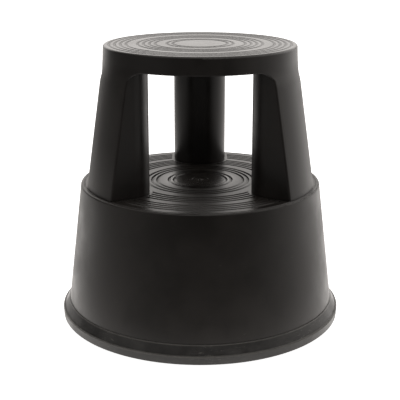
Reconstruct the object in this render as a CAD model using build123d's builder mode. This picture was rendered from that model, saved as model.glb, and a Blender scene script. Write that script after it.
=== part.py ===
from build123d import *
import math
import os

os.makedirs("parts", exist_ok=True)

# ---------------------------------------------------------------- driving sizes
STOOL_HEIGHT = 430.0          # floor to top tread
STEP_HEIGHT = 218.0           # floor to lower step
TOP_RADIUS = 146.0            # top tread, at its rim
BAND_FOOT_RADIUS = 147.2      # lower end of the nearly straight band under the rim
BAND_FOOT_HEIGHT = 402.0
SHOULDER_RADIUS = 153.2       # upper end of the leg cone; a short shoulder joins it to the band
SHOULDER_HEIGHT = 382.0
LEG_FOOT_RADIUS = 179.1       # leg cone where it meets the step
PROFILE_BLEND = 60.0          # rounding of the shoulder's two breaks
SHELL_WALL = 4.0
TREAD_PLATE = 5.0             # thickness of both treads
TOP_EDGE_ROUNDING = 3.5

LEG_HALF_WIDTH = 42.4
LEG_INNER_FACE = 96.5         # distance of the leg's nose from the stool's axis
LEG_INNER_CORNER = 37.0       # nearly a half round
LEG_OUTER_EDGE = 3.0          # rounding of the two outer edges of a leg
LEG_FOOT_BEVEL = 0.6          # leaves a fine seam where a leg stands on the step
LEG_DIRECTIONS = (90.0, 210.0, 330.0)
GAP_DIRECTIONS = (30.0, 150.0, 270.0)

WINDOW_TOP = 403.3            # lower edge of the skirt
WINDOW_CORNER = 34.0
WINDOW_HALF_TOP = 105.5
WINDOW_HALF_STEP = 131.0      # half width of a window at step height
WINDOW_EDGE_ROUNDING = 1.6    # inner and outer edges of the skirt round each window

BASE_RIM_RADIUS = 185.5
BASE_FOOT_RADIUS = 208.4
SEAM_HEIGHT = 32.6            # top of the floor ring
RIM_ROUNDING = 3.0

RING_LIP_WIDTH = 1.4          # top of the ring that shows outside the base wall
RING_LIP_ROUNDING = 0.8
RING_NOTCH_RADIUS = 217.2     # the sloped face ends here, against the ridge
RING_NOTCH_HEIGHT = 18.6
RING_RIDGE_RADIUS = 219.8
RING_RIDGE_HEIGHT = 19.0
RING_RIDGE_ROUNDING = 1.3
RING_FOOT_HEIGHT = 6.0        # the ring hangs clear of the floor while nobody stands on the stool
RING_INNER_RADIUS = 205.7

GROOVE_WIDTH = 4.8            # at the tread surface; the sides slope
GROOVE_FLOOR_WIDTH = 1.2
GROOVE_DEPTH = 1.6
TOP_GROOVES = (41.4, 50.0, 68.0, 76.7, 85.3, 94.0, 111.3, 120.0, 128.6, 137.2)
STEP_FULL_GROOVES = (40.5, 48.5, 66.5, 74.5, 82.5)
STEP_CUT_GROOVES = (101.5, 109.5, 117.5, 125.5, 142.0, 150.0, 158.0, 166.0)
FOOT_BORDER = 4.5             # smooth strip left round each leg foot
RIM_LINE_RADIUS = 179.8       # shallow line just inside the step's rim
RIM_LINE_WIDTH = 3.0
RIM_LINE_FLOOR = 1.0
RIM_LINE_DEPTH = 1.1

CASTOR_RADIUS = 150.0         # distance of each castor stem from the stool's axis
CASTOR_DIRECTIONS = GAP_DIRECTIONS
WHEEL_RADIUS = 20.0
WHEEL_TRAIL = 16.0            # wheel axle behind the stem axis
CASTOR_TRAVEL = 10.0

# ---------------------------------------------------------------- worked-out sizes
TOP_UNDERSIDE = STOOL_HEIGHT - TREAD_PLATE
DECK_UNDERSIDE = STEP_HEIGHT - TREAD_PLATE
WALL_TOP_HEIGHT = STEP_HEIGHT - RIM_ROUNDING
BASE_SLOPE = (BASE_FOOT_RADIUS - BASE_RIM_RADIUS) / (WALL_TOP_HEIGHT - SEAM_HEIGHT)
LIP_RADIUS = RING_INNER_RADIUS - 0.1      # the base wall steps in behind the floor ring
LIP_FOOT_HEIGHT = 14.0

TOWER_OUTER = 24.0
TOWER_INNER = 21.0
TOWER_FOOT = 70.0
BOSS_RADIUS = 5.0
SCREW_CIRCLE = 27.5           # housing screws, measured from the stem axis
SCREW_ANGLES = (60.0, 180.0, 300.0)
FLANGE_THICKNESS = 4.0
FLANGE_FOOT = TOWER_FOOT - FLANGE_THICKNESS

HOUSING_OUTER = 16.5
HOUSING_INNER = 13.0
HOUSING_FOOT = 58.0
HOUSING_TOP = 118.0
HOUSING_CAP = 4.0
CAP_UNDERSIDE = HOUSING_TOP - HOUSING_CAP

STEM_RADIUS = 5.0
STEM_NECK_RADIUS = 4.0
STEM_TOP = 124.0
STEM_COLLAR_RADIUS = 12.6
STEM_COLLAR_FOOT = 60.0
STEM_COLLAR_TOP = 64.0
WASHER_THICKNESS = 1.2
SPRING_FOOT = STEM_COLLAR_TOP + WASHER_THICKNESS
SPRING_WIRE_RADIUS = 1.1
SPRING_MEAN_RADIUS = 9.5
SPRING_TURNS = 7

FORK_CROWN_FOOT = 43.0
FORK_CROWN_TOP = 46.0
RACE_FOOT = FORK_CROWN_TOP + 0.3
RACE_TOP = 49.0
CHEEK_INNER = 9.0             # half the gap between the fork cheeks
CHEEK_THICKNESS = 2.5
CHEEK_OUTER = CHEEK_INNER + CHEEK_THICKNESS
AXLE_RADIUS = 3.0
RUNNING_CLEARANCE = 0.05
HUB_RADIUS = 15.5
TYRE_HALF_WIDTH = 7.0

LEG_SCREW_RADII = (124.0, 156.0)
LEG_SCREW_SHANK = 2.0
LEG_SCREW_HEAD = 4.2
LEG_SCREW_HEAD_HEIGHT = 2.8
LEG_SCREW_TIP = STEP_HEIGHT + 24.0
HOUSING_SCREW_SHANK = 1.75
HOUSING_SCREW_HEAD = 3.6
HOUSING_SCREW_HEAD_HEIGHT = 2.6
HOUSING_SCREW_TIP = TOWER_FOOT + 18.0


def direction_plane(angle, height=0.0):
    """Horizontal plane through the stool's axis whose x axis points along the angle."""
    x_axis = (math.cos(math.radians(angle)), math.sin(math.radians(angle)), 0)
    return Plane(origin=(0, 0, height), x_dir=x_axis, z_dir=(0, 0, 1))


def castor_plane(angle):
    """Floor plane under one castor stem; x points the way the wheel trails."""
    centre = (
        CASTOR_RADIUS * math.cos(math.radians(angle)),
        CASTOR_RADIUS * math.sin(math.radians(angle)),
        0,
    )
    trail = (-math.sin(math.radians(angle)), math.cos(math.radians(angle)), 0)
    return Plane(origin=centre, x_dir=trail, z_dir=(0, 0, 1))


def keep(builder, name):
    """Label one sub-part and write it to its own file."""
    builder.part.label = name
    export_step(builder.part, f"parts/{name}.step")


def base_radius(height):
    """Outer radius of the base wall at a height."""
    return BASE_RIM_RADIUS + BASE_SLOPE * (WALL_TOP_HEIGHT - height)


def envelope_outline(inset, top):
    """Half section of the upper shell's outer shape, drawn smaller by the inset."""
    with BuildSketch(Plane.XZ) as outline:
        with BuildLine():
            Polyline(
                (0, STEP_HEIGHT),
                (LEG_FOOT_RADIUS - inset, STEP_HEIGHT),
                (SHOULDER_RADIUS - inset, SHOULDER_HEIGHT),
                (BAND_FOOT_RADIUS - inset, BAND_FOOT_HEIGHT),
                (TOP_RADIUS - inset, top),
                (0, top),
                close=True,
            )
        make_face()
        breaks = outline.vertices().filter_by_position(Axis.Y, STEP_HEIGHT + 1, top - 1)
        fillet(breaks, PROFILE_BLEND)
    return outline.sketch


def foot_outline(angle, height, margin):
    """Footprint of one leg at a height, grown by the margin; its outer end runs past the rim."""
    nose = LEG_INNER_FACE - margin
    reach = LEG_FOOT_RADIUS + 10
    with BuildSketch(direction_plane(angle, height)) as footprint:
        with Locations(((nose + reach) / 2, 0)):
            Rectangle(reach - nose, 2 * (LEG_HALF_WIDTH + margin))
        fillet(footprint.vertices().group_by(Axis.X)[0], LEG_INNER_CORNER + margin)
    return footprint.sketch


def leg_block(angle, inset, top, finished):
    """One leg as a solid post: footprint pulled up and trimmed to the outer shape."""
    with BuildPart() as post:
        extrude(foot_outline(angle, STEP_HEIGHT, -inset), amount=top - STEP_HEIGHT)
        revolve(envelope_outline(inset, top), axis=Axis.Z, mode=Mode.INTERSECT)
        if finished:
            outer = []
            for edge in post.edges():
                middle = edge.center()
                rise = edge.bounding_box().size.Z
                if rise > 100 and math.hypot(middle.X, middle.Y) > LEG_INNER_FACE + LEG_INNER_CORNER + 10:
                    outer.append(edge)
            fillet(outer, LEG_OUTER_EDGE)
            chamfer(post.edges().group_by(Axis.Z)[0], LEG_FOOT_BEVEL)
    return post.part


def groove_rings(radii, surface, width, floor_width, depth):
    """Ring-shaped cutters with sloped sides, for grooves sunk into a tread surface."""
    with BuildPart() as rings:
        with BuildSketch(Plane.XZ) as sections:
            with Locations(*[(radius, surface) for radius in radii]):
                Polygon(
                    (-width / 2, 0),
                    (-floor_width / 2, -depth),
                    (floor_width / 2, -depth),
                    (width / 2, 0),
                    align=None,
                )
        revolve(axis=Axis.Z)
    return rings.part


# ---------------------------------------------------------------- upper shell
leg_posts = [leg_block(a, 0.0, TOP_UNDERSIDE + 1, True) for a in LEG_DIRECTIONS]
leg_hollows = [leg_block(a, SHELL_WALL, TOP_UNDERSIDE, False) for a in LEG_DIRECTIONS]

TOP_RIB_THICKNESS = 2.5
TOP_RIB_DEPTH = 12.0
TOP_RIB_RING = 60.0
LEG_RIB_HEIGHT = 44.0
LEG_RIB_THICKNESS = 3.0
LEG_RIB_LENGTH = 2 * (LEG_HALF_WIDTH - SHELL_WALL) + 1.6      # bites into both walls
LEG_BOSS_RADIUS = 5.5

with BuildPart() as upper_shell:
    revolve(envelope_outline(0.0, STOOL_HEIGHT), axis=Axis.Z)
    fillet(upper_shell.edges().group_by(Axis.Z)[-1], TOP_EDGE_ROUNDING)
    revolve(envelope_outline(SHELL_WALL, TOP_UNDERSIDE), axis=Axis.Z, mode=Mode.SUBTRACT)
    for gap in GAP_DIRECTIONS:
        facing = math.radians(gap)
        window_plane = Plane(
            origin=(0, 0, 0),
            x_dir=(-math.sin(facing), math.cos(facing), 0),
            z_dir=(math.cos(facing), math.sin(facing), 0),
        )
        with BuildSketch(window_plane) as window:
            with BuildLine():
                Polyline(
                    (-WINDOW_HALF_STEP, STEP_HEIGHT - 1),
                    (WINDOW_HALF_STEP, STEP_HEIGHT - 1),
                    (WINDOW_HALF_TOP, WINDOW_TOP),
                    (-WINDOW_HALF_TOP, WINDOW_TOP),
                    close=True,
                )
            make_face()
            fillet(window.vertices().group_by(Axis.Y)[-1], WINDOW_CORNER)
        extrude(amount=LEG_FOOT_RADIUS + 5, mode=Mode.SUBTRACT)
    window_edges = []
    for edge in upper_shell.edges():
        middle = edge.position_at(0.5)
        reach = math.hypot(middle.X, middle.Y)
        if STEP_HEIGHT + 1 < middle.Z < WINDOW_TOP + 0.1 and reach > BAND_FOOT_RADIUS - 1:
            window_edges.append(edge)
    fillet(window_edges, WINDOW_EDGE_ROUNDING)
    with BuildSketch(Plane.XY.offset(TOP_UNDERSIDE - TOP_RIB_DEPTH)):
        Circle(TOP_RIB_RING + TOP_RIB_THICKNESS / 2)
        Circle(TOP_RIB_RING - TOP_RIB_THICKNESS / 2, mode=Mode.SUBTRACT)
        with PolarLocations(TOP_RIB_RING / 2 + 36, 12, start_angle=30):
            Rectangle(TOP_RIB_RING + 20, TOP_RIB_THICKNESS)
    extrude(amount=TOP_RIB_DEPTH + 1)
    for post in leg_posts:
        add(post)
    for hollow in leg_hollows:
        add(hollow, mode=Mode.SUBTRACT)
    for angle in LEG_DIRECTIONS:
        with BuildSketch(direction_plane(angle, STEP_HEIGHT)):
            with Locations(*[(radius, 0) for radius in LEG_SCREW_RADII]):
                Rectangle(LEG_RIB_THICKNESS, LEG_RIB_LENGTH)
                Circle(LEG_BOSS_RADIUS)
        extrude(amount=LEG_RIB_HEIGHT)
        with BuildSketch(direction_plane(angle, STEP_HEIGHT)):
            with Locations(*[(radius, 0) for radius in LEG_SCREW_RADII]):
                Circle(LEG_SCREW_SHANK + RUNNING_CLEARANCE)
        extrude(amount=LEG_RIB_HEIGHT - 6, mode=Mode.SUBTRACT)
    top_cutters = groove_rings(TOP_GROOVES, STOOL_HEIGHT, GROOVE_WIDTH, GROOVE_FLOOR_WIDTH, GROOVE_DEPTH)
    add(top_cutters, mode=Mode.SUBTRACT)
keep(upper_shell, "upper_shell")

# ---------------------------------------------------------------- base shell
DECK_RIB_DEPTH = 9.0
DECK_RIB_THICKNESS = 2.5
DECK_RIB_RING = 104.0
GUSSET_FOOT = 96.0
TOWER_TOP = DECK_UNDERSIDE + 1
BORDER_LIMIT = 172.0          # the smooth strips end between the last groove and the rim
GATE_RADIUS = 13.0
GATE_DEPTH = 0.6
NUB_RADIUS = 3.0


def foot_strip(angle):
    """Smooth pad under one leg foot that ends the grooves round it."""
    pad_depth = GROOVE_DEPTH + 0.5
    with BuildPart() as pad:
        extrude(foot_outline(angle, STEP_HEIGHT, FOOT_BORDER), amount=-pad_depth)
        with BuildSketch(Plane.XY.offset(STEP_HEIGHT)):
            Circle(BORDER_LIMIT)
        extrude(amount=-pad_depth, mode=Mode.INTERSECT)
    return pad.part


with BuildPart() as base_shell:
    with BuildSketch(Plane.XZ) as drum_outline:
        with BuildLine():
            Polyline(
                (0, STEP_HEIGHT),
                (base_radius(STEP_HEIGHT), STEP_HEIGHT),
                (BASE_FOOT_RADIUS, SEAM_HEIGHT + 0.2),
                (LIP_RADIUS, SEAM_HEIGHT + 0.2),
                (LIP_RADIUS, LIP_FOOT_HEIGHT),
                (LIP_RADIUS - SHELL_WALL, LIP_FOOT_HEIGHT),
                (LIP_RADIUS - SHELL_WALL, SEAM_HEIGHT),
                (base_radius(DECK_UNDERSIDE) - SHELL_WALL, DECK_UNDERSIDE),
                (0, DECK_UNDERSIDE),
                close=True,
            )
        make_face()
    revolve(axis=Axis.Z)
    fillet(base_shell.edges().group_by(Axis.Z)[-1], RIM_ROUNDING)
    with BuildSketch(Plane.XY.offset(DECK_UNDERSIDE - DECK_RIB_DEPTH)):
        Circle(DECK_RIB_RING + DECK_RIB_THICKNESS / 2)
        Circle(DECK_RIB_RING - DECK_RIB_THICKNESS / 2, mode=Mode.SUBTRACT)
        with PolarLocations(DECK_RIB_RING - 26, 6):
            Rectangle(DECK_RIB_RING - 2, DECK_RIB_THICKNESS)
        Circle(30)
        Circle(30 - DECK_RIB_THICKNESS, mode=Mode.SUBTRACT)
    extrude(amount=DECK_RIB_DEPTH + 1)
    for angle in CASTOR_DIRECTIONS:
        tower_plane = castor_plane(angle)
        with BuildSketch(tower_plane.offset(TOWER_FOOT)):
            Circle(TOWER_OUTER)
            with PolarLocations(SCREW_CIRCLE, len(SCREW_ANGLES), start_angle=SCREW_ANGLES[0]):
                Circle(BOSS_RADIUS)
        extrude(amount=TOWER_TOP - TOWER_FOOT)
        wall_foot = base_radius(GUSSET_FOOT) - SHELL_WALL / 2
        gusset_reach = base_radius(TOWER_TOP) - SHELL_WALL / 2
        facing = math.radians(angle)
        gusset_plane = Plane(
            origin=(0, 0, 0),
            x_dir=(math.cos(facing), math.sin(facing), 0),
            z_dir=(math.sin(facing), -math.cos(facing), 0),
        )
        with BuildSketch(gusset_plane) as gusset:
            with BuildLine():
                Polyline(
                    (CASTOR_RADIUS, GUSSET_FOOT),
                    (wall_foot, GUSSET_FOOT),
                    (gusset_reach, TOWER_TOP),
                    (DECK_RIB_RING, TOWER_TOP),
                    (DECK_RIB_RING, TOWER_TOP - 30),
                    (CASTOR_RADIUS - TOWER_INNER - 1, GUSSET_FOOT),
                    close=True,
                )
            make_face()
        extrude(amount=1.5, both=True)
        with BuildSketch(tower_plane.offset(TOWER_FOOT)):
            Circle(TOWER_INNER)
        extrude(amount=DECK_UNDERSIDE - TOWER_FOOT, mode=Mode.SUBTRACT)
        with BuildSketch(tower_plane.offset(TOWER_FOOT)):
            with PolarLocations(SCREW_CIRCLE, len(SCREW_ANGLES), start_angle=SCREW_ANGLES[0]):
                Circle(HOUSING_SCREW_SHANK + RUNNING_CLEARANCE)
        extrude(amount=HOUSING_SCREW_TIP + 4 - TOWER_FOOT, mode=Mode.SUBTRACT)
    step_radii = STEP_FULL_GROOVES + STEP_CUT_GROOVES
    step_cutters = groove_rings(step_radii, STEP_HEIGHT, GROOVE_WIDTH, GROOVE_FLOOR_WIDTH, GROOVE_DEPTH)
    add(step_cutters, mode=Mode.SUBTRACT)
    rim_line = groove_rings([RIM_LINE_RADIUS], STEP_HEIGHT, RIM_LINE_WIDTH, RIM_LINE_FLOOR, RIM_LINE_DEPTH)
    add(rim_line, mode=Mode.SUBTRACT)
    for angle in LEG_DIRECTIONS:
        add(foot_strip(angle))
        with BuildSketch(direction_plane(angle, STEP_HEIGHT)):
            with Locations(*[(radius, 0) for radius in LEG_SCREW_RADII]):
                Circle(LEG_SCREW_SHANK + RUNNING_CLEARANCE)
        extrude(amount=-TREAD_PLATE, mode=Mode.SUBTRACT)
    with BuildSketch(Plane.XY.offset(STEP_HEIGHT)):
        Circle(GATE_RADIUS)
        Circle(NUB_RADIUS, mode=Mode.SUBTRACT)
    extrude(amount=-GATE_DEPTH, mode=Mode.SUBTRACT)
keep(base_shell, "base_shell")

# ---------------------------------------------------------------- floor ring
with BuildPart() as floor_ring:
    with BuildSketch(Plane.XZ) as ring_outline:
        with BuildLine():
            Polyline(
                (RING_INNER_RADIUS, SEAM_HEIGHT),
                (BASE_FOOT_RADIUS + RING_LIP_WIDTH, SEAM_HEIGHT),
                (RING_NOTCH_RADIUS, RING_NOTCH_HEIGHT),
                (RING_NOTCH_RADIUS + 0.6, RING_RIDGE_HEIGHT),
                (RING_RIDGE_RADIUS, RING_RIDGE_HEIGHT),
                (RING_RIDGE_RADIUS - 0.6, RING_FOOT_HEIGHT + 1.0),
                (RING_RIDGE_RADIUS - 1.6, RING_FOOT_HEIGHT),
                (RING_INNER_RADIUS - SHELL_WALL, RING_FOOT_HEIGHT),
                (RING_INNER_RADIUS - SHELL_WALL, LIP_FOOT_HEIGHT - 0.2),
                (RING_INNER_RADIUS, LIP_FOOT_HEIGHT - 0.2),
                close=True,
            )
        make_face()
        lip_corner = (BASE_FOOT_RADIUS + RING_LIP_WIDTH, SEAM_HEIGHT)
        fillet(ring_outline.vertices().sort_by_distance(lip_corner)[0], RING_LIP_ROUNDING)
        ridge_corner = (RING_RIDGE_RADIUS, RING_RIDGE_HEIGHT)
        fillet(ring_outline.vertices().sort_by_distance(ridge_corner)[0], RING_RIDGE_ROUNDING)
    revolve(axis=Axis.Z)
keep(floor_ring, "floor_ring")


# ---------------------------------------------------------------- screws
def screw(plane, seat, tip, shank, head, head_height):
    """One screw driven upwards: head below the seat, shank from the seat to the tip."""
    with BuildPart() as one_screw:
        with BuildSketch(plane.offset(seat)):
            Circle(shank)
        extrude(amount=tip - seat)
        with BuildSketch(plane.offset(seat)):
            Circle(head)
        extrude(amount=-head_height)
        with BuildSketch(plane.offset(seat - head_height)):
            Rectangle(head * 1.2, 1.0)
            Rectangle(1.0, head * 1.2)
        extrude(amount=head_height / 2, mode=Mode.SUBTRACT)
    return one_screw.part


def shifted(plane, along, across):
    """The same plane moved within itself."""
    return Plane(origin=plane.from_local_coords((along, across, 0)), x_dir=plane.x_dir, z_dir=(0, 0, 1))


leg_screw_list = []
for angle in LEG_DIRECTIONS:
    for radius in LEG_SCREW_RADII:
        spot = shifted(direction_plane(angle), radius, 0)
        leg_screw_list.append(
            screw(
                spot, DECK_UNDERSIDE, LEG_SCREW_TIP,
                LEG_SCREW_SHANK, LEG_SCREW_HEAD, LEG_SCREW_HEAD_HEIGHT,
            )
        )
with BuildPart() as leg_screws:
    for one in leg_screw_list:
        add(one)
keep(leg_screws, "leg_screws")


# ---------------------------------------------------------------- castors
def make_housing(plane, name):
    """Flanged tube that holds the spring and guides the stem."""
    with BuildPart() as castor_housing:
        with BuildSketch(plane.offset(HOUSING_FOOT)):
            Circle(HOUSING_OUTER)
        extrude(amount=HOUSING_TOP - HOUSING_FOOT)
        with BuildSketch(plane.offset(FLANGE_FOOT)):
            Circle(SCREW_CIRCLE + BOSS_RADIUS + 0.5)
        extrude(amount=FLANGE_THICKNESS)
        with BuildSketch(plane.offset(HOUSING_FOOT)):
            Circle(HOUSING_INNER)
        extrude(amount=CAP_UNDERSIDE - HOUSING_FOOT, mode=Mode.SUBTRACT)
        with BuildSketch(plane.offset(CAP_UNDERSIDE)):
            Circle(STEM_RADIUS + 0.35)
        extrude(amount=HOUSING_CAP, mode=Mode.SUBTRACT)
        with BuildSketch(plane.offset(FLANGE_FOOT)):
            with PolarLocations(SCREW_CIRCLE, len(SCREW_ANGLES), start_angle=SCREW_ANGLES[0]):
                Circle(HOUSING_SCREW_SHANK + RUNNING_CLEARANCE)
        extrude(amount=FLANGE_THICKNESS, mode=Mode.SUBTRACT)
        fillet(castor_housing.edges().group_by(Axis.Z)[-1].sort_by(SortBy.LENGTH)[-1], 1.5)
    keep(castor_housing, name)


def make_housing_screws(plane, name):
    """Three screws that hold the housing flange under its tower."""
    screw_list = []
    for angle in SCREW_ANGLES:
        turn = math.radians(angle)
        spot = shifted(plane, SCREW_CIRCLE * math.cos(turn), SCREW_CIRCLE * math.sin(turn))
        screw_list.append(
            screw(
                spot, FLANGE_FOOT, HOUSING_SCREW_TIP,
                HOUSING_SCREW_SHANK, HOUSING_SCREW_HEAD, HOUSING_SCREW_HEAD_HEIGHT,
            )
        )
    with BuildPart() as castor_screws:
        for one in screw_list:
            add(one)
    keep(castor_screws, name)


def make_spring(plane, name):
    """Compression spring between the stem collar and the housing cap."""
    coil_height = CAP_UNDERSIDE - SPRING_FOOT - 2 * SPRING_WIRE_RADIUS
    coil_foot = plane.offset(SPRING_FOOT + SPRING_WIRE_RADIUS)
    with BuildPart() as castor_spring:
        with BuildLine(coil_foot) as coil:
            Helix(coil_height / SPRING_TURNS, coil_height, SPRING_MEAN_RADIUS)
        with BuildSketch(Plane(origin=coil.line @ 0, z_dir=coil.line % 0)):
            Circle(SPRING_WIRE_RADIUS)
        sweep(path=coil.line, is_frenet=True)
    keep(castor_spring, name)


def make_washer(plane, name):
    """Flat washer between the spring and the stem collar."""
    with BuildPart() as spring_washer:
        with BuildSketch(plane.offset(STEM_COLLAR_TOP)):
            Circle(STEM_COLLAR_RADIUS - 0.2)
            Circle(STEM_RADIUS + RUNNING_CLEARANCE, mode=Mode.SUBTRACT)
        extrude(amount=WASHER_THICKNESS)
    keep(spring_washer, name)


def make_stem(plane, name):
    """Turned steel stem: rivet head, neck, collar, shaft and clip groove."""
    profile = Plane(origin=plane.origin, x_dir=plane.x_dir, z_dir=plane.y_dir * -1)
    with BuildPart() as castor_stem:
        with BuildSketch(profile) as outline:
            with BuildLine():
                Polyline(
                    (0, FORK_CROWN_FOOT - 2.3),
                    (6.5, FORK_CROWN_FOOT - 2.3),
                    (7.0, FORK_CROWN_FOOT - 0.3),
                    (STEM_NECK_RADIUS, FORK_CROWN_FOOT - 0.3),
                    (STEM_NECK_RADIUS, RACE_TOP),
                    (STEM_RADIUS, RACE_TOP),
                    (STEM_RADIUS, STEM_COLLAR_FOOT),
                    (STEM_COLLAR_RADIUS, STEM_COLLAR_FOOT),
                    (STEM_COLLAR_RADIUS, STEM_COLLAR_TOP),
                    (STEM_RADIUS, STEM_COLLAR_TOP),
                    (STEM_RADIUS, HOUSING_TOP + 0.3),
                    (STEM_NECK_RADIUS, HOUSING_TOP + 0.3),
                    (STEM_NECK_RADIUS, HOUSING_TOP + 1.5),
                    (STEM_RADIUS, HOUSING_TOP + 1.5),
                    (STEM_RADIUS, STEM_TOP - 1),
                    (STEM_RADIUS - 1, STEM_TOP),
                    (0, STEM_TOP),
                    close=True,
                )
            make_face()
        revolve(axis=Axis(plane.origin, (0, 0, 1)))
    keep(castor_stem, name)


def make_clip(plane, name):
    """Open retaining ring that stops the stem dropping out of its housing."""
    with BuildPart() as stem_clip:
        with BuildSketch(plane.offset(HOUSING_TOP + 0.35)):
            Circle(8.5)
            Circle(STEM_NECK_RADIUS + RUNNING_CLEARANCE, mode=Mode.SUBTRACT)
            with Locations((6.5, 0)):
                Rectangle(8, 6, mode=Mode.SUBTRACT)
        extrude(amount=1.1)
    keep(stem_clip, name)


def make_race(plane, name):
    """Swivel race on the stem's neck, above the fork crown."""
    with BuildPart() as swivel_race:
        with BuildSketch(plane.offset(RACE_FOOT)):
            Circle(11)
            Circle(STEM_NECK_RADIUS + RUNNING_CLEARANCE, mode=Mode.SUBTRACT)
        extrude(amount=RACE_TOP - RACE_FOOT)
        fillet(swivel_race.edges().group_by(Axis.Z)[-1].sort_by(SortBy.LENGTH)[-1], 0.8)
    keep(swivel_race, name)


def make_fork(plane, name):
    """Pressed fork: a crown plate and two cheeks that carry the axle."""
    side = Plane(origin=plane.origin, x_dir=plane.x_dir, z_dir=plane.y_dir * -1)
    with BuildPart() as castor_fork:
        with BuildSketch(side) as cheek:
            with BuildLine():
                Polyline(
                    (-11, FORK_CROWN_TOP),
                    (-11, FORK_CROWN_FOOT - 3),
                    (WHEEL_TRAIL - 7, WHEEL_RADIUS - 6),
                    (WHEEL_TRAIL + 7, WHEEL_RADIUS - 6),
                    (WHEEL_TRAIL + 7, WHEEL_RADIUS + 5),
                    (WHEEL_TRAIL - 2, FORK_CROWN_TOP),
                    close=True,
                )
            make_face()
            fillet(cheek.vertices(), 3)
        extrude(amount=CHEEK_OUTER, both=True)
        with BuildSketch(side) as gap:
            with Locations((WHEEL_TRAIL / 2, FORK_CROWN_FOOT / 2)):
                Rectangle(80, FORK_CROWN_FOOT)
        extrude(amount=CHEEK_INNER, both=True, mode=Mode.SUBTRACT)
        with BuildSketch(plane.offset(FORK_CROWN_FOOT)):
            Circle(STEM_NECK_RADIUS + 0.08)
        extrude(amount=FORK_CROWN_TOP - FORK_CROWN_FOOT, mode=Mode.SUBTRACT)
        with BuildSketch(side) as bore:
            with Locations((WHEEL_TRAIL, WHEEL_RADIUS)):
                Circle(AXLE_RADIUS)
        extrude(amount=CHEEK_OUTER + 1, both=True, mode=Mode.SUBTRACT)
    keep(castor_fork, name)


def axle_plane(plane):
    """Upright plane through the wheel's centre, square to the axle."""
    centre = plane.from_local_coords((WHEEL_TRAIL, 0, WHEEL_RADIUS))
    return Plane(origin=centre, x_dir=plane.x_dir, z_dir=plane.y_dir)


def make_axle(plane, name):
    """Riveted axle pin with a head outside each cheek."""
    across = axle_plane(plane)
    with BuildPart() as axle:
        with BuildSketch(across) as pin:
            Circle(AXLE_RADIUS)
        extrude(amount=CHEEK_OUTER + 1.4, both=True)
        for side in (-1, 1):
            with BuildSketch(across.offset(side * CHEEK_OUTER)):
                Circle(4.6)
            extrude(amount=side * 1.6)
    keep(axle, name)


def make_hub(plane, name):
    """Wheel core: rim, thin web and a boss that runs on the axle."""
    across = axle_plane(plane)
    with BuildPart() as wheel_hub:
        with BuildSketch(across) as rim:
            Circle(HUB_RADIUS)
            Circle(HUB_RADIUS - 3, mode=Mode.SUBTRACT)
        extrude(amount=TYRE_HALF_WIDTH, both=True)
        with BuildSketch(across) as web:
            Circle(HUB_RADIUS - 1)
        extrude(amount=1.6, both=True)
        with BuildSketch(across) as boss:
            Circle(6)
        extrude(amount=CHEEK_INNER - 0.4, both=True)
        with BuildSketch(across) as bore:
            Circle(AXLE_RADIUS + RUNNING_CLEARANCE)
        extrude(amount=CHEEK_INNER, both=True, mode=Mode.SUBTRACT)
    keep(wheel_hub, name)


def make_tyre(plane, name):
    """Soft tyre round the wheel core."""
    across = axle_plane(plane)
    with BuildPart() as wheel_tyre:
        with BuildSketch(across) as band:
            Circle(WHEEL_RADIUS)
            Circle(HUB_RADIUS, mode=Mode.SUBTRACT)
        extrude(amount=TYRE_HALF_WIDTH, both=True)
        outer_edges = [
            e for e in wheel_tyre.edges().filter_by(GeomType.CIRCLE) if e.radius > WHEEL_RADIUS - 1
        ]
        fillet(outer_edges, 2.5)
    keep(wheel_tyre, name)


for number, angle in enumerate(CASTOR_DIRECTIONS, start=1):
    floor_plane = castor_plane(angle)
    make_housing(floor_plane, f"castor_housing_{number}")
    make_housing_screws(floor_plane, f"castor_screws_{number}")
    make_spring(floor_plane, f"castor_spring_{number}")
    make_washer(floor_plane, f"spring_washer_{number}")
    make_stem(floor_plane, f"castor_stem_{number}")
    make_clip(floor_plane, f"stem_clip_{number}")
    make_race(floor_plane, f"swivel_race_{number}")
    make_fork(floor_plane, f"castor_fork_{number}")
    make_axle(floor_plane, f"axle_{number}")
    make_hub(floor_plane, f"wheel_hub_{number}")
    make_tyre(floor_plane, f"wheel_tyre_{number}")
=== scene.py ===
import math

import bmesh
import bpy
from bpy.props import FloatProperty, FloatVectorProperty, IntProperty, PointerProperty
from bpy.types import Operator, Panel, PropertyGroup
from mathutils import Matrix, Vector


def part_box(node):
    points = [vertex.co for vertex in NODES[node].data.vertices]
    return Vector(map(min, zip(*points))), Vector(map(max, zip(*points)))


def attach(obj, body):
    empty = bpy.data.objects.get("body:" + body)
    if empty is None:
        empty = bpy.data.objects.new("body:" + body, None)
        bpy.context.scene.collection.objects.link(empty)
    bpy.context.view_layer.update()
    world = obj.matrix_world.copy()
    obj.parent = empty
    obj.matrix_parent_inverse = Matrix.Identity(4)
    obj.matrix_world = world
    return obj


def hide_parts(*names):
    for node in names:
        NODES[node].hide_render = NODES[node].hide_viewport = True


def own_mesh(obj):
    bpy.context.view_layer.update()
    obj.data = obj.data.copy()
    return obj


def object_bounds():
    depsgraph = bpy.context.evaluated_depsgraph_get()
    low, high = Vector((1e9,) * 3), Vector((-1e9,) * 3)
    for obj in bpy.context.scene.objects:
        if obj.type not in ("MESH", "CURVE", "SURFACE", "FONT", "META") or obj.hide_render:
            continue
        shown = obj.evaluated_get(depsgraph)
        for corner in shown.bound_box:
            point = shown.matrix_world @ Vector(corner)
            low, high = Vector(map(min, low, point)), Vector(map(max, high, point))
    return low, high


bl_info = {
    "name": "Rolling step stool",
    "version": (1, 0, 0),
    "blender": (4, 5, 0),
    "location": "3D View > Sidebar > Step stool",
    "description": "Finishes and details for a round plastic step stool on spring castors",
    "category": "Object",
}

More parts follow.
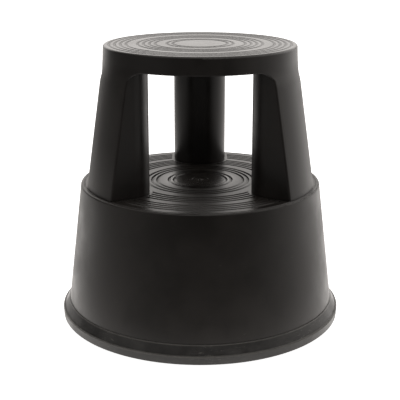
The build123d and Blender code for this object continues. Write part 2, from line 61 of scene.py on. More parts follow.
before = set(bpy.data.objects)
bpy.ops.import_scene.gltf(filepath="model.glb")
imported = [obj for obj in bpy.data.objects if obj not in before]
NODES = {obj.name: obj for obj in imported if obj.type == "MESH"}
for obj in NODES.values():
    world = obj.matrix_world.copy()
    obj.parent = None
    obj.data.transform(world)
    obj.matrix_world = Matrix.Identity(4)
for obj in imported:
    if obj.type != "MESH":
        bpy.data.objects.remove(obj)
CAD_BOX = [list(corner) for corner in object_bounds()]
CASTORS = (1, 2, 3)
SPRING_NAMES = [f"castor_spring_{n}" for n in CASTORS]
TOP_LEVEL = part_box("upper_shell")[1].z
STEP_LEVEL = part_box("base_shell")[1].z
RING_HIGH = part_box("floor_ring")[1].z
RIDGE_DROP = 0.0136  # from the top of the floor ring down to the top of its ridge
RIDGE_LEVEL = RING_HIGH - RIDGE_DROP


# ---------------------------------------------------------------- node helpers
def node(tree, kind, **settings):
    """Add one shader node and set its plain attributes."""
    made = tree.nodes.new(kind)
    for key, value in settings.items():
        setattr(made, key, value)
    return made


def feed(tree, socket, source):
    """Give a socket either a link from another socket or a fixed value."""
    if isinstance(source, bpy.types.NodeSocket):
        tree.links.new(source, socket)
    else:
        socket.default_value = source


def math_node(tree, operation, first, second=0.0, clamp=False):
    """Arithmetic on two values or sockets."""
    made = node(tree, "ShaderNodeMath", operation=operation, use_clamp=clamp)
    feed(tree, made.inputs[0], first)
    feed(tree, made.inputs[1], second)
    return made.outputs[0]


def times(tree, first, second, clamp=False):
    """Product of two values or sockets."""
    return math_node(tree, "MULTIPLY", first, second, clamp)


def plus(tree, first, second, clamp=False):
    """Sum of two values or sockets."""
    return math_node(tree, "ADD", first, second, clamp)


def minus(tree, first, second):
    """Difference of two values or sockets."""
    return math_node(tree, "SUBTRACT", first, second)


def spread(tree, value, low, high, to_low=0.0, to_high=1.0, smooth=True):
    """Map a value from one range to another, clamped at both ends."""
    made = node(tree, "ShaderNodeMapRange")
    made.interpolation_type = "SMOOTHSTEP" if smooth else "LINEAR"
    for name, source in zip(
        ("Value", "From Min", "From Max", "To Min", "To Max"),
        (value, low, high, to_low, to_high),
    ):
        feed(tree, made.inputs[name], source)
    return made.outputs["Result"]


def noise(tree, where, scale, detail=2.0, roughness=0.5, stretch=None):
    """Noise value at a place, optionally stretched along the axes."""
    if stretch:
        mapping = node(tree, "ShaderNodeMapping")
        feed(tree, mapping.inputs["Vector"], where)
        mapping.inputs["Scale"].default_value = stretch
        where = mapping.outputs["Vector"]
    made = node(tree, "ShaderNodeTexNoise")
    feed(tree, made.inputs["Vector"], where)
    feed(tree, made.inputs["Scale"], scale)
    feed(tree, made.inputs["Detail"], detail)
    feed(tree, made.inputs["Roughness"], roughness)
    return made.outputs["Fac"]


def mix_colour(tree, factor, first, second):
    """Blend two colours."""
    made = node(tree, "ShaderNodeMix", data_type="RGBA")
    feed(tree, made.inputs["Factor"], factor)
    feed(tree, made.inputs["A"], first)
    feed(tree, made.inputs["B"], second)
    return made.outputs["Result"]


def object_place(tree):
    """Position on the stool in its own frame, in metres."""
    return node(tree, "ShaderNodeTexCoord").outputs["Object"]


def axis_distance(tree):
    """Distance from the stool's upright axis, in metres."""
    parts = node(tree, "ShaderNodeSeparateXYZ")
    feed(tree, parts.inputs[0], object_place(tree))
    level = node(tree, "ShaderNodeCombineXYZ")
    feed(tree, level.inputs[0], parts.outputs["X"])
    feed(tree, level.inputs[1], parts.outputs["Y"])
    made = node(tree, "ShaderNodeVectorMath", operation="LENGTH")
    feed(tree, made.inputs[0], level.outputs[0])
    return made.outputs["Value"]


def height_band(tree, low, high, fade):
    """Mask between two heights above the floor, fading out beyond both."""
    parts = node(tree, "ShaderNodeSeparateXYZ")
    feed(tree, parts.inputs[0], object_place(tree))
    above = spread(tree, parts.outputs["Z"], low - fade, low)
    below = spread(tree, parts.outputs["Z"], high, high + fade, 1.0, 0.0)
    return times(tree, above, below)


def start_group(name, inputs, outputs):
    """Empty node group with float inputs and outputs; returns it with its two ends."""
    tree = bpy.data.node_groups.new(name, "ShaderNodeTree")
    for label, default in inputs:
        socket = tree.interface.new_socket(label, in_out="INPUT", socket_type="NodeSocketFloat")
        socket.default_value = default
    for label in outputs:
        tree.interface.new_socket(label, in_out="OUTPUT", socket_type="NodeSocketFloat")
    return tree, node(tree, "NodeGroupInput"), node(tree, "NodeGroupOutput")


def use_group(tree, group, **values):
    """Place a node group in a material and set its inputs by name."""
    made = node(tree, "ShaderNodeGroup")
    made.node_tree = group
    for label, value in values.items():
        feed(tree, made.inputs[label.replace("_", " ")], value)
    return made


# ---------------------------------------------------------------- shared effects
SCUFF_DRAWN_OUT = 40.0  # how much finer scuffs are across their length than along it


def grain_group():
    """Fine moulded or cast grain: a height and a slow mottle."""
    name = "moulded_grain"
    if name in bpy.data.node_groups:
        return bpy.data.node_groups[name]
    tree, start, end = start_group(
        name, (("Fineness", 900.0), ("Mottle size", 14.0)), ("Height", "Mottle")
    )
    place = object_place(tree)
    fine = noise(tree, place, start.outputs["Fineness"], 3.0, 0.6)
    slow = noise(tree, place, start.outputs["Mottle size"], 4.0, 0.62)
    feed(tree, end.inputs["Height"], fine)
    feed(tree, end.inputs["Mottle"], spread(tree, slow, 0.32, 0.70))
    return tree


def scuff_group():
    """Short pale scratches that run mostly around the stool."""
    name = "scuff_marks"
    if name in bpy.data.node_groups:
        return bpy.data.node_groups[name]
    tree, start, end = start_group(
        name, (("Amount", 0.5), ("Length", 1.0), ("Fineness", 1.0)), ("Mask",)
    )
    place = object_place(tree)
    parts = node(tree, "ShaderNodeSeparateXYZ")
    feed(tree, parts.inputs[0], place)
    angle = math_node(tree, "ARCTAN2", parts.outputs["Y"], parts.outputs["X"])
    radius = axis_distance(tree)
    wrapped = node(tree, "ShaderNodeCombineXYZ")
    feed(tree, wrapped.inputs[0], math_node(tree, "DIVIDE", angle, start.outputs["Length"]))
    feed(tree, wrapped.inputs[1], times(tree, radius, SCUFF_DRAWN_OUT))
    feed(tree, wrapped.inputs[2], times(tree, parts.outputs["Z"], SCUFF_DRAWN_OUT))
    lines = noise(tree, wrapped.outputs[0], times(tree, start.outputs["Fineness"], 9.0), 5.0, 0.7)
    patches = noise(tree, place, 9.0, 3.0, 0.6)
    limit = spread(tree, start.outputs["Amount"], 0.0, 1.0, 0.80, 0.50, smooth=False)
    sharp = spread(tree, lines, limit, plus(tree, limit, 0.06))
    allowed = spread(tree, patches, 0.42, 0.62)
    feed(tree, end.inputs["Mask"], times(tree, sharp, allowed))
    return tree


def dust_group():
    """Dust that settles where a surface faces up."""
    name = "settled_dust"
    if name in bpy.data.node_groups:
        return bpy.data.node_groups[name]
    tree, start, end = start_group(name, (("Amount", 0.3), ("Patch size", 30.0)), ("Mask",))
    facing = node(tree, "ShaderNodeSeparateXYZ")
    feed(tree, facing.inputs[0], node(tree, "ShaderNodeNewGeometry").outputs["Normal"])
    upward = spread(tree, facing.outputs["Z"], 0.35, 0.95)
    place = object_place(tree)
    patches = spread(tree, noise(tree, place, start.outputs["Patch size"], 6.0, 0.65), 0.35, 0.75)
    specks = spread(tree, noise(tree, place, 1400.0, 1.0, 0.5), 0.60, 0.75)
    both = plus(tree, times(tree, patches, 0.7), times(tree, specks, 0.5))
    covered = times(tree, times(tree, upward, both), start.outputs["Amount"], clamp=True)
    feed(tree, end.inputs["Mask"], covered)
    return tree


def level_group():
    """Mask of the up-facing surface within a thin band of height, such as a tread."""
    name = "tread_level"
    if name in bpy.data.node_groups:
        return bpy.data.node_groups[name]
    tree, start, end = start_group(
        name, (("Level", 0.4), ("Thickness", 0.002)), ("Mask", "Depth")
    )
    parts = node(tree, "ShaderNodeSeparateXYZ")
    feed(tree, parts.inputs[0], object_place(tree))
    facing = node(tree, "ShaderNodeSeparateXYZ")
    feed(tree, facing.inputs[0], node(tree, "ShaderNodeNewGeometry").outputs["Normal"])
    below = minus(tree, start.outputs["Level"], parts.outputs["Z"])
    limit = start.outputs["Thickness"]
    near = spread(tree, below, limit, times(tree, limit, 1.2), 1.0, 0.0)
    flat = spread(tree, facing.outputs["Z"], 0.6, 0.9)
    feed(tree, end.inputs["Mask"], times(tree, near, flat))
    feed(tree, end.inputs["Depth"], spread(tree, below, 0.0002, 0.001))
    return tree


# ---------------------------------------------------------------- materials
SCUFFED_PLASTIC = (0.13, 0.128, 0.122, 1.0)
STRESSED_PLASTIC = (0.12, 0.117, 0.11, 1.0)
GROOVE_DUST = (0.19, 0.18, 0.165, 1.0)
SCUFFED_RUBBER = (0.16, 0.155, 0.145, 1.0)
# Paler rubber for rubbed edges and smears; it also paints the highlight on the ring's edges and the
# reflection streaks on its faces.
RUBBED_RUBBER_AND_SHEEN = (0.15, 0.145, 0.135, 1.0)
RING_DUST = (0.17, 0.16, 0.15, 1.0)
SCRAPED_TYRE = (0.26, 0.25, 0.23, 1.0)
TREAD_THICKNESS = 0.0016  # depth below a tread's level that still counts as tread
WORN_FROM = 0.034  # wear on the step starts at this distance from its middle
WORN_FULLY = 0.075
GATE_INNER = 0.002  # the moulding mark fades out between these distances
GATE_OUTER = 0.011


def paler(colour, factor, lift=0.0):
    """Opaque lighter version of a colour."""
    return (*(min(1.0, part * factor + lift) for part in colour), 1.0)


def start_material(name):
    """Empty node material with its shader and output in place."""
    made = bpy.data.materials.new(name)
    made.use_nodes = True
    tree = made.node_tree
    tree.nodes.clear()
    shader = node(tree, "ShaderNodeBsdfPrincipled")
    output = node(tree, "ShaderNodeOutputMaterial")
    tree.links.new(shader.outputs[0], output.inputs["Surface"])
    return made, tree, shader


def bump(tree, height, strength, distance, rounding=0.0):
    """Bump from a height, over softly rounded edges when a rounding is given."""
    made = node(tree, "ShaderNodeBump")
    made.inputs["Strength"].default_value = strength
    made.inputs["Distance"].default_value = distance
    feed(tree, made.inputs["Height"], height)
    if rounding:
        soft = node(tree, "ShaderNodeBevel", samples=4)
        soft.inputs["Radius"].default_value = rounding
        tree.links.new(soft.outputs[0], made.inputs["Normal"])
    return made.outputs[0]


def shell_plastic(name, level, finish, tread_roughness, worn_roughness, scuffs):
    """Black moulded plastic: satin wall, and a tread that is duller away from its middle disc."""
    made, tree, shader = start_material(name)
    grain = use_group(tree, grain_group(), Fineness=finish.grain_fineness, Mottle_size=11.0)
    mottle = grain.outputs["Mottle"]
    tread = use_group(tree, level_group(), Level=level, Thickness=TREAD_THICKNESS)
    on_tread = tread.outputs["Mask"]
    in_groove = times(tree, tread.outputs["Depth"], on_tread)
    marks = use_group(tree, scuff_group(), Amount=scuffs, Length=0.9, Fineness=1.0).outputs["Mask"]
    dust = use_group(tree, dust_group(), Amount=finish.dust, Patch_size=26.0)
    dust_mask = times(tree, dust.outputs["Mask"], plus(tree, times(tree, in_groove, 0.3), 0.35))
    away = times(tree, spread(tree, axis_distance(tree), WORN_FROM, WORN_FULLY), on_tread)

    base = mix_colour(tree, mottle, (*finish.shell_colour, 1.0), paler(finish.shell_colour, 1.7, 0.002))
    base = mix_colour(tree, times(tree, marks, 0.35), base, SCUFFED_PLASTIC)
    gate = spread(tree, axis_distance(tree), GATE_INNER, GATE_OUTER, 1.0, 0.0)
    speckle = spread(tree, noise(tree, object_place(tree), 260.0, 3.0, 0.7), 0.40, 0.60)
    gate = times(tree, times(tree, gate, speckle), finish.gate_mark)
    base = mix_colour(tree, times(tree, gate, on_tread), base, STRESSED_PLASTIC)
    base = mix_colour(tree, dust_mask, base, GROOVE_DUST)
    feed(tree, shader.inputs["Base Color"], base)

    wall_low, wall_high = finish.wall_roughness - 0.05, finish.wall_roughness + 0.06
    wall = spread(tree, mottle, 0.0, 1.0, wall_low, wall_high)
    middle = spread(tree, away, 0.0, 1.0, tread_roughness, worn_roughness)
    top = plus(tree, middle, spread(tree, mottle, 0.0, 1.0, -0.02, 0.03))
    rough = plus(tree, wall, times(tree, minus(tree, top, wall), on_tread))
    rough = plus(tree, rough, times(tree, marks, 0.15))
    rough = plus(tree, rough, times(tree, dust_mask, 0.4), clamp=True)
    feed(tree, shader.inputs["Roughness"], rough)
    shine = spread(tree, in_groove, 0.0, 1.0, 0.5, finish.groove_shine)
    feed(tree, shader.inputs["Specular IOR Level"], shine)
    height = minus(tree, grain.outputs["Height"], times(tree, marks, 0.6))
    feed(tree, shader.inputs["Normal"], bump(tree, height, 0.10, 0.0003, finish.edge_rounding))
    return made


def ring_rubber(finish):
    """Black rubber of the floor ring, rubbed pale along its lip and ridge, with a painted highlight on
    both edges and faint streaks that are partly smears and partly painted reflection.
    """
    made, tree, shader = start_material("floor_ring_rubber")
    grain = use_group(tree, grain_group(), Fineness=500.0, Mottle_size=22.0)
    mottle = grain.outputs["Mottle"]
    marks = use_group(tree, scuff_group(), Amount=0.75, Length=0.5, Fineness=1.3).outputs["Mask"]
    dust = use_group(tree, dust_group(), Amount=finish.dust * 1.4, Patch_size=40.0)
    place = object_place(tree)

    base = mix_colour(tree, mottle, (*finish.ring_colour, 1.0), paler(finish.ring_colour, 2.0, 0.004))
    base = mix_colour(tree, times(tree, marks, 0.5), base, SCUFFED_RUBBER)
    base = mix_colour(tree, dust.outputs["Mask"], base, RING_DUST)
    # Pale bands on the ridge top and on the lip: partly rubbed wear, partly a painted highlight where
    # these rounded edges catch the light.
    ridge = height_band(tree, RIDGE_LEVEL - 0.0013, RIDGE_LEVEL + 0.0001, 0.0005)
    lip = height_band(tree, RING_HIGH - 0.0010, RING_HIGH, 0.0006)
    edges = plus(tree, ridge, times(tree, lip, 0.8))
    rubbed = spread(tree, noise(tree, place, 30.0, 5.0, 0.7), 0.25, 0.65, 0.35, 1.0)
    wear = times(tree, times(tree, edges, rubbed), finish.ring_wear_and_sheen)
    base = mix_colour(tree, wear, base, RUBBED_RUBBER_AND_SHEEN)
    # Faint pale horizontal streaks: partly smears, partly painted reflection streaks.
    smears_and_reflections = noise(tree, place, 26.0, 6.0, 0.7, stretch=(1.0, 1.0, 3.0))
    base = mix_colour(tree, spread(tree, smears_and_reflections, 0.46, 0.72, 0.0, 0.12), base, RUBBED_RUBBER_AND_SHEEN)
    feed(tree, shader.inputs["Base Color"], base)

    low, high = finish.ring_roughness - 0.07, finish.ring_roughness + 0.08
    rough = plus(tree, spread(tree, mottle, 0.0, 1.0, low, high), times(tree, marks, 0.2), clamp=True)
    feed(tree, shader.inputs["Roughness"], rough)
    height = plus(tree, grain.outputs["Height"], times(tree, mottle, 0.8))
    feed(tree, shader.inputs["Normal"], bump(tree, height, 0.25, 0.0004, finish.edge_rounding))
    return made


def plated_steel(name, tint, roughness, tarnish):
    """Zinc-plated or spring steel with faint turning lines and dull patches."""
    made, tree, shader = start_material(name)
    grain = use_group(tree, grain_group(), Fineness=1500.0, Mottle_size=120.0)
    place = object_place(tree)
    lines = noise(tree, place, 900.0, 2.0, 0.5, stretch=(0.15, 0.15, 3.0))
    mottle = grain.outputs["Mottle"]
    base = mix_colour(tree, mottle, (*tint, 1.0), paler(tint, tarnish))
    feed(tree, shader.inputs["Base Color"], base)
    shader.inputs["Metallic"].default_value = 1.0
    varied = plus(tree, times(tree, mottle, 0.7), times(tree, lines, 0.5))
    rough = spread(tree, varied, 0.1, 1.1, roughness - 0.08, roughness + 0.14)
    feed(tree, shader.inputs["Roughness"], rough)
    feed(tree, shader.inputs["Normal"], bump(tree, lines, 0.12, 0.0001, 0.0002))
    return made


def nylon(name, colour, roughness):
    """Hard moulded nylon of the castor housings and wheel cores."""
    made, tree, shader = start_material(name)
    grain = use_group(tree, grain_group(), Fineness=1300.0, Mottle_size=60.0)
    mottle = grain.outputs["Mottle"]
    base = mix_colour(tree, mottle, (*colour, 1.0), paler(colour, 1.8, 0.003))
    feed(tree, shader.inputs["Base Color"], base)
    rough = spread(tree, mottle, 0.0, 1.0, roughness - 0.06, roughness + 0.1)
    feed(tree, shader.inputs["Roughness"], rough)
    feed(tree, shader.inputs["Normal"], bump(tree, grain.outputs["Height"], 0.15, 0.0002, 0.0004))
    return made


def tyre_rubber(finish):
    """Grey non-marking tyre with a dusty, scuffed running band."""
    made, tree, shader = start_material("castor_tyre_rubber")
    grain = use_group(tree, grain_group(), Fineness=1100.0, Mottle_size=90.0)
    scraped = noise(tree, object_place(tree), 260.0, 5.0, 0.7, stretch=(1.0, 1.0, 0.4))
    dark = (*finish.tyre_colour, 1.0)
    base = mix_colour(tree, grain.outputs["Mottle"], dark, paler(finish.tyre_colour, 1.6))
    base = mix_colour(tree, spread(tree, scraped, 0.58, 0.72, 0.0, 0.5), base, SCRAPED_TYRE)
    feed(tree, shader.inputs["Base Color"], base)
    feed(tree, shader.inputs["Roughness"], spread(tree, scraped, 0.3, 0.8, 0.62, 0.85))
    height = plus(tree, grain.outputs["Height"], scraped)
    feed(tree, shader.inputs["Normal"], bump(tree, height, 0.3, 0.0003, 0.0004))
    return made


def dress(names, material):
    """Give every named frame node one material."""
    for name in names:
        slots = NODES[name].material_slots
        if not slots:
            NODES[name].data.materials.append(material)
        for slot in NODES[name].material_slots:
            slot.material = material


# ---------------------------------------------------------------- settings
class StoolFinish(PropertyGroup):
    """Colours and surface finish of the moulded parts."""

    shell_colour: FloatVectorProperty(
        name="Shell colour", description="Colour of the two plastic shells",
        subtype="COLOR", size=3, min=0.0, max=1.0, default=(0.0085, 0.0068, 0.0056),
    )
    wall_roughness: FloatProperty(
        name="Wall roughness", description="Satin finish of the legs and the drum",
        min=0.05, max=1.0, default=0.36, subtype="FACTOR",
    )
    tread_roughness: FloatProperty(
        name="Tread roughness", description="Finish of the top tread and of the step's middle",
        min=0.05, max=1.0, default=0.23, subtype="FACTOR",
    )
    worn_roughness: FloatProperty(
        name="Worn roughness", description="Finish of the step where shoes have dulled it",
        min=0.05, max=1.0, default=0.39, subtype="FACTOR",
    )
    groove_shine: FloatProperty(
        name="Groove shine", description="Reflection left in the tread grooves",
        min=0.0, max=1.0, default=0.26, subtype="FACTOR",
    )
    gate_mark: FloatProperty(
        name="Gate mark", description="Paleness of the moulding mark in the middle of each tread",
        min=0.0, max=1.0, default=0.7, subtype="FACTOR",
    )
    grain_fineness: FloatProperty(
        name="Grain fineness", description="How fine the moulded grain is",
        min=100.0, max=4000.0, default=1000.0,
    )
    edge_rounding: FloatProperty(
        name="Edge rounding", description="Softness of moulded edges",
        min=0.0, max=0.002, default=0.0005, precision=4, subtype="DISTANCE", unit="LENGTH",
    )
    dust: FloatProperty(
        name="Dust", description="Dust lying in the grooves",
        min=0.0, max=1.0, default=0.25, subtype="FACTOR",
    )
    ring_colour: FloatVectorProperty(
        name="Ring colour", description="Colour of the floor ring",
        subtype="COLOR", size=3, min=0.0, max=1.0, default=(0.012, 0.0115, 0.011),
    )
    ring_roughness: FloatProperty(
        name="Ring roughness", description="Finish of the floor ring",
        min=0.05, max=1.0, default=0.40, subtype="FACTOR",
    )
    # Sets the rubbed wear and the painted highlight on the ring's ridge and lip.
    ring_wear_and_sheen: FloatProperty(
        name="Ring wear", description="Paleness of the rubbed edges of the floor ring",
        min=0.0, max=1.0, default=0.6, subtype="FACTOR",
    )
    tyre_colour: FloatVectorProperty(
        name="Tyre colour", description="Colour of the castor tyres",
        subtype="COLOR", size=3, min=0.0, max=1.0, default=(0.085, 0.083, 0.08),
    )


class CastorSpringSizes(PropertyGroup):
    """Sizes of the compression springs."""

    wire_radius: FloatProperty(
        name="Wire radius", description="Half the thickness of the spring wire",
        min=0.0003, max=0.003, default=0.0011, precision=4, subtype="DISTANCE", unit="LENGTH",
    )
    open_turns: IntProperty(
        name="Open turns", description="Turns between the two closed ends", min=2, max=20, default=6,
    )


class StageSettings(PropertyGroup):
    """Floor, light and camera."""

    floor_reach: FloatProperty(
        name="Floor reach", description="Distance from the stool to the floor's edge",
        min=1.0, max=20.0, default=7.0, subtype="DISTANCE", unit="LENGTH",
    )
    back_light: FloatProperty(
        name="Back light", description="Brightness of the studio wall behind",
        min=0.0, max=10.0, default=1.05,
    )
    raised_light: FloatProperty(
        name="Raised light", description="How much brighter the studio is above eye level",
        min=0.0, max=10.0, default=1.6,
    )
    overhead_light: FloatProperty(
        name="Overhead light", description="Brightness of the studio ceiling",
        min=0.0, max=10.0, default=0.9,
    )
    floor_near_light: FloatProperty(
        name="Near floor light", description="Extra brightness of the floor right beside the stool",
        min=0.0, max=10.0, default=0.95,
    )
    near_floor: FloatProperty(
        name="Near floor", description="Radius of the brighter part of the floor",
        min=0.3, max=5.0, default=1.25, subtype="DISTANCE", unit="LENGTH",
    )
    floor_seen_light: FloatProperty(
        name="Floor white", description="Brightness of the floor to look at",
        min=0.0, max=10.0, default=0.97,
    )
    focal_length: FloatProperty(
        name="Focal length", description="Camera lens, in millimetres",
        min=20.0, max=300.0, default=85.8,
    )
    camera_distance: FloatProperty(
        name="Camera distance", description="Distance from the stool's axis",
        min=0.5, max=10.0, default=1.4399, subtype="DISTANCE", unit="LENGTH",
    )
    camera_height: FloatProperty(
        name="Camera height", description="Height above the floor",
        min=0.0, max=5.0, default=0.6159, subtype="DISTANCE", unit="LENGTH",
    )
    camera_tilt: FloatProperty(
        name="Camera tilt", description="How far the camera looks down",
        min=0.0, max=1.5, default=math.radians(16.70), subtype="ANGLE", unit="ROTATION",
    )
    camera_turn: FloatProperty(
        name="Camera turn", description="Camera's turn round the stool's axis",
        min=-3.2, max=3.2, default=math.radians(-0.4), subtype="ANGLE", unit="ROTATION",
    )
    camera_pan: FloatProperty(
        name="Camera pan", description="How far the camera looks to the left of the stool's axis",
        min=-1.0, max=1.0, default=math.radians(0.01), subtype="ANGLE", unit="ROTATION",
    )


# ---------------------------------------------------------------- pieces
class STOOL_OT_shells(Operator):
    """Finish the upper shell and the base shell."""

    bl_idname = "stool.shells"
    bl_label = "Shells"

    def execute(self, context):
        finish = context.scene.stool_finish
        clean, worn = finish.tread_roughness, finish.worn_roughness
        upper = shell_plastic("upper_shell_plastic", TOP_LEVEL, finish, clean, clean, 0.25)
        dress(["upper_shell"], upper)
        base = shell_plastic("base_shell_plastic", STEP_LEVEL, finish, clean, worn, 0.45)
        dress(["base_shell"], base)
        return {"FINISHED"}


class STOOL_OT_floor_ring(Operator):
    """Finish the rubber floor ring."""

    bl_idname = "stool.floor_ring"
    bl_label = "Floor ring"

    def execute(self, context):
        dress(["floor_ring"], ring_rubber(context.scene.stool_finish))
        return {"FINISHED"}


class STOOL_OT_castor_metal(Operator):
    """Finish the stems, forks, axles, washers, races, clips and screws."""

    bl_idname = "stool.castor_metal"
    bl_label = "Castor metal"

    def execute(self, context):
        zinc = plated_steel("zinc_plated_steel", (0.60, 0.61, 0.62), 0.32, 0.72)
        dark = plated_steel("dark_spring_steel", (0.30, 0.30, 0.31), 0.36, 0.6)
        plated = ["castor_stem", "castor_fork", "axle", "spring_washer", "swivel_race", "castor_screws"]
        dress([f"{kind}_{n}" for kind in plated for n in CASTORS] + ["leg_screws"], zinc)
        dress([f"stem_clip_{n}" for n in CASTORS], dark)
        return {"FINISHED"}


class STOOL_OT_castor_plastic(Operator):
    """Finish the castor housings and wheel cores."""

    bl_idname = "stool.castor_plastic"
    bl_label = "Castor plastic"

    def execute(self, context):
        black = nylon("black_castor_nylon", (0.016, 0.016, 0.016), 0.42)
        dress([f"castor_housing_{n}" for n in CASTORS], black)
        grey = nylon("grey_wheel_nylon", (0.10, 0.10, 0.10), 0.45)
        dress([f"wheel_hub_{n}" for n in CASTORS], grey)
        return {"FINISHED"}


class STOOL_OT_tyres(Operator):
    """Finish the castor tyres."""

    bl_idname = "stool.tyres"
    bl_label = "Tyres"

    def execute(self, context):
        dress([f"wheel_tyre_{n}" for n in CASTORS], tyre_rubber(context.scene.stool_finish))
        return {"FINISHED"}


def spring_line(centre, low, high, radius, wire, turns):
    """Points along a coil with closed ends, from its foot to its top."""
    closed = 0.85
    total = turns + 2 * closed
    steps = int(total * 36)
    points = []
    climb_closed = 2.02 * wire
    open_climb = (high - low - 2 * wire - 2 * closed * climb_closed) / turns
    for step in range(steps + 1):
        turn = total * step / steps
        end_turns = min(turn, closed) + max(0.0, turn - turns - closed)
        middle_turns = min(max(turn - closed, 0.0), turns)
        rise = end_turns * climb_closed + middle_turns * open_climb
        angle = 2 * math.pi * turn
        across = radius * math.cos(angle)
        away = radius * math.sin(angle)
        points.append(Vector((centre.x + across, centre.y + away, low + wire + rise)))
    return points


def wire_mesh(name, points, radius, sides=12):
    """Round wire along a line of points, closed at both ends with flat caps."""
    mesh = bmesh.new()
    rings = []
    for index, point in enumerate(points):
        ahead = points[min(index + 1, len(points) - 1)]
        behind = points[max(index - 1, 0)]
        forward = (ahead - behind).normalized()
        side = forward.cross(Vector((0, 0, 1))).normalized()
        up = side.cross(forward)
        ring = []
        for corner in range(sides):
            angle = 2 * math.pi * corner / sides
            offset = side * math.cos(angle) + up * math.sin(angle)
            ring.append(mesh.verts.new(point + offset * radius))
        rings.append(ring)
    for first, second in zip(rings, rings[1:]):
        for corner in range(sides):
            after = (corner + 1) % sides
            mesh.faces.new((first[corner], first[after], second[after], second[corner]))
    mesh.faces.new(list(reversed(rings[0])))
    mesh.faces.new(rings[-1])
    bmesh.ops.recalc_face_normals(mesh, faces=mesh.faces)
    data = bpy.data.meshes.new(name)
    mesh.to_mesh(data)
    mesh.free()
    for face in data.polygons:
        face.use_smooth = len(face.vertices) == 4
    made = bpy.data.objects.new(name, data)
    bpy.context.scene.collection.objects.link(made)
    return made


class STOOL_OT_castor_springs(Operator):
    """Wind the three compression springs with closed ends."""

    bl_idname = "stool.castor_springs"
    bl_label = "Castor springs"

    def execute(self, context):
        sizes = context.scene.stool_springs
        steel = plated_steel("coil_spring_steel", (0.34, 0.34, 0.35), 0.30, 0.65)
        for number, old in zip(CASTORS, SPRING_NAMES):
            low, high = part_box(old)
            centre = (low + high) / 2
            outer = (high.x - low.x) / 2
            points = spring_line(
                centre, low.z, high.z, outer - sizes.wire_radius, sizes.wire_radius, sizes.open_turns
            )
            spring = wire_mesh(f"coil_spring_{number}", points, sizes.wire_radius)
            spring.data.materials.append(steel)
            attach(spring, "stool")
            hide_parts(old)
            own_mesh(spring)
        return {"FINISHED"}


# ---------------------------------------------------------------- stage
# Brightness of the studio by the angle from straight behind the stool: left side, right side.
FAR_LEVELS = (
    (0, 1.0, 1.0), (30, 1.0, 1.0), (37, 0.72, 1.0), (47, 0.18, 1.0), (60, 0.10, 0.82), (67, 0.09, 0.72),
    (75, 0.09, 0.56), (90, 0.10, 0.42), (103, 0.14, 0.34), (126, 0.20, 0.20), (150, 0.12, 0.08),
    (180, 0.05, 0.05),
)
# The same for the floor near the stool.
NEAR_LEVELS = (
    (0, 1.3, 1.3), (45, 1.3, 1.3), (58, 1.15, 1.2), (68, 1.0, 1.15), (76, 0.8, 0.97), (85, 0.68, 0.8),
    (98, 0.52, 0.62), (112, 0.40, 0.48), (126, 0.28, 0.31), (145, 0.2, 0.2), (180, 0.15, 0.15),
)
NEAR_FLOOR_FADE = 0.4
BESIDE_FULL = 0.24  # the floor right beside the stool is brightest within this distance
BESIDE_END = 0.44
LIGHT_TINT = (1.04, 1.0, 0.965)


def grey(level):
    """Opaque neutral colour."""
    return (level, level, level, 1.0)


def warm(tree, level):
    """Slightly warm light of a given brightness."""
    made = node(tree, "ShaderNodeVectorMath", operation="SCALE")
    made.inputs[0].default_value = LIGHT_TINT
    feed(tree, made.inputs["Scale"], level)
    return made.outputs[0]


def room_level(tree, across, away, levels):
    """Brightness of the studio in one horizontal direction, from a list by angle."""
    turn = spread(tree, math_node(tree, "ARCTAN2", across, away), -math.pi, math.pi, smooth=False)
    curve = node(tree, "ShaderNodeFloatCurve")
    feed(tree, curve.inputs["Value"], turn)
    stops = [(0.5 - angle / 360, left) for angle, left, right in reversed(levels)]
    stops += [(0.5 + angle / 360, right) for angle, left, right in levels[1:]]
    curve.mapping.clip_max_y = 2.0
    line = curve.mapping.curves[0]
    while len(line.points) < len(stops):
        line.points.new(0.5, 0.5)
    for point, (place, level) in zip(line.points, stops):
        point.location = (place, level)
    for point in line.points:
        point.handle_type = "VECTOR"
    curve.mapping.update()
    return curve.outputs["Value"]


def studio_world(settings):
    """Studio that lights the stool from behind and above and is plain white to look at."""
    world = bpy.data.worlds.new("studio_surround")
    world.use_nodes = True
    tree = world.node_tree
    tree.nodes.clear()
    direction = node(tree, "ShaderNodeSeparateXYZ")
    feed(tree, direction.inputs[0], node(tree, "ShaderNodeTexCoord").outputs["Generated"])
    level = room_level(tree, direction.outputs["X"], direction.outputs["Y"], FAR_LEVELS)
    raised = spread(tree, direction.outputs["Z"], 0.05, 0.30, 1.0, settings.raised_light)
    level = times(tree, times(tree, level, raised), settings.back_light)
    overhead = spread(tree, direction.outputs["Z"], 0.55, 0.9)
    looked_at = node(tree, "ShaderNodeLightPath").outputs["Is Camera Ray"]
    colour = warm(tree, mix_colour(tree, overhead, level, grey(settings.overhead_light)))
    background = node(tree, "ShaderNodeBackground")
    feed(tree, background.inputs["Color"], mix_colour(tree, looked_at, colour, grey(1.0)))
    output = node(tree, "ShaderNodeOutputWorld")
    tree.links.new(background.outputs[0], output.inputs["Surface"])
    return world


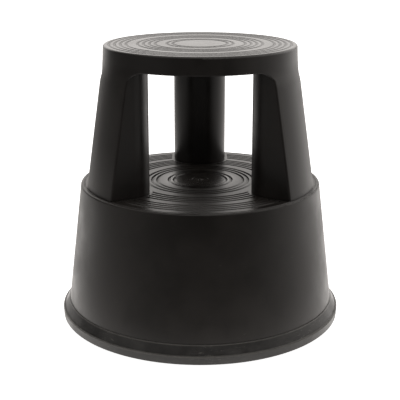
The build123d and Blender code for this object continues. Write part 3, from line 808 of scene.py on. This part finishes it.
def floor_paint(settings):
    """Pale floor that fades round the stool the way the studio does, clear from below."""
    made, tree, shader = start_material("studio_floor_paint")
    place = object_place(tree)
    parts = node(tree, "ShaderNodeSeparateXYZ")
    feed(tree, parts.inputs[0], place)
    far = room_level(tree, parts.outputs["X"], parts.outputs["Y"], FAR_LEVELS)
    near = room_level(tree, parts.outputs["X"], parts.outputs["Y"], NEAR_LEVELS)
    distance = node(tree, "ShaderNodeVectorMath", operation="LENGTH")
    feed(tree, distance.inputs[0], place)
    reach, near_end = distance.outputs["Value"], settings.near_floor + NEAR_FLOOR_FADE
    nearness = spread(tree, reach, settings.near_floor, near_end, 1.0, 0.0)
    beside = spread(tree, reach, BESIDE_FULL, BESIDE_END, settings.floor_near_light, 0.0)
    level = mix_colour(tree, nearness, far, near)
    level = times(tree, plus(tree, level, beside), settings.back_light)
    looked_at = node(tree, "ShaderNodeLightPath").outputs["Is Camera Ray"]
    glow = mix_colour(tree, looked_at, warm(tree, level), grey(settings.floor_seen_light))
    feed(tree, shader.inputs["Base Color"], mix_colour(tree, looked_at, grey(0.02), grey(0.86)))
    feed(tree, shader.inputs["Emission Color"], glow)
    shader.inputs["Emission Strength"].default_value = 1.0
    shader.inputs["Roughness"].default_value = 0.9
    shader.inputs["Specular IOR Level"].default_value = 0.1
    one_sided = node(tree, "ShaderNodeMixShader")
    feed(tree, one_sided.inputs["Fac"], node(tree, "ShaderNodeNewGeometry").outputs["Backfacing"])
    tree.links.new(shader.outputs[0], one_sided.inputs[1])
    tree.links.new(node(tree, "ShaderNodeBsdfTransparent").outputs[0], one_sided.inputs[2])
    output = next(n for n in tree.nodes if n.bl_idname == "ShaderNodeOutputMaterial")
    tree.links.new(one_sided.outputs[0], output.inputs["Surface"])
    return made


class STOOL_OT_stage(Operator):
    """Pale floor, soft studio light and the camera."""

    bl_idname = "stool.stage"
    bl_label = "Stage"

    def execute(self, context):
        settings = context.scene.stool_stage
        mesh = bmesh.new()
        bmesh.ops.create_circle(mesh, cap_ends=True, segments=96, radius=settings.floor_reach)
        data = bpy.data.meshes.new("studio_floor")
        mesh.to_mesh(data)
        mesh.free()
        floor = bpy.data.objects.new("studio_floor", data)
        context.scene.collection.objects.link(floor)
        floor.location.z = CAD_BOX[0][2] - 0.0002
        floor.data.materials.append(floor_paint(settings))
        context.scene.world = studio_world(settings)
        context.scene.view_settings.view_transform = "Standard"

        lens = bpy.data.cameras.new("studio_camera")
        lens.lens = settings.focal_length
        lens.sensor_width = 36.0
        lens.clip_start = 0.05
        lens.clip_end = 60.0
        camera = bpy.data.objects.new("studio_camera", lens)
        context.scene.collection.objects.link(camera)
        turn = settings.camera_turn
        camera.location = (
            settings.camera_distance * math.sin(turn),
            -settings.camera_distance * math.cos(turn),
            settings.camera_height,
        )
        camera.rotation_euler = (math.pi / 2 - settings.camera_tilt, 0.0, turn + settings.camera_pan)
        context.scene.camera = camera
        return {"FINISHED"}


class STOOL_PT_panel(Panel):
    """Lists the stool's pieces, its stage and their settings."""

    bl_idname = "STOOL_PT_panel"
    bl_label = "Step stool"
    bl_space_type = "VIEW_3D"
    bl_region_type = "UI"
    bl_category = "Step stool"

    def draw(self, context):
        layout = self.layout
        for operator in OPERATORS:
            layout.operator(operator.bl_idname)
        scene = context.scene
        for settings in (scene.stool_finish, scene.stool_springs, scene.stool_stage):
            box = layout.box()
            for name in settings.__annotations__:
                box.prop(settings, name)


OPERATORS = (
    STOOL_OT_shells,
    STOOL_OT_floor_ring,
    STOOL_OT_castor_metal,
    STOOL_OT_castor_plastic,
    STOOL_OT_tyres,
    STOOL_OT_castor_springs,
    STOOL_OT_stage,
)
GROUPS = (StoolFinish, CastorSpringSizes, StageSettings)


def register():
    for cls in (*GROUPS, *OPERATORS, STOOL_PT_panel):
        bpy.utils.register_class(cls)
    bpy.types.Scene.stool_finish = PointerProperty(type=StoolFinish)
    bpy.types.Scene.stool_springs = PointerProperty(type=CastorSpringSizes)
    bpy.types.Scene.stool_stage = PointerProperty(type=StageSettings)


def unregister():
    del bpy.types.Scene.stool_stage
    del bpy.types.Scene.stool_springs
    del bpy.types.Scene.stool_finish
    for cls in reversed((*GROUPS, *OPERATORS, STOOL_PT_panel)):
        bpy.utils.unregister_class(cls)


def main():
    """Build every piece in order."""
    register()
    for operator in OPERATORS:
        category, name = operator.bl_idname.split(".")
        getattr(getattr(bpy.ops, category), name)()


if __name__ == "__main__":
    main()
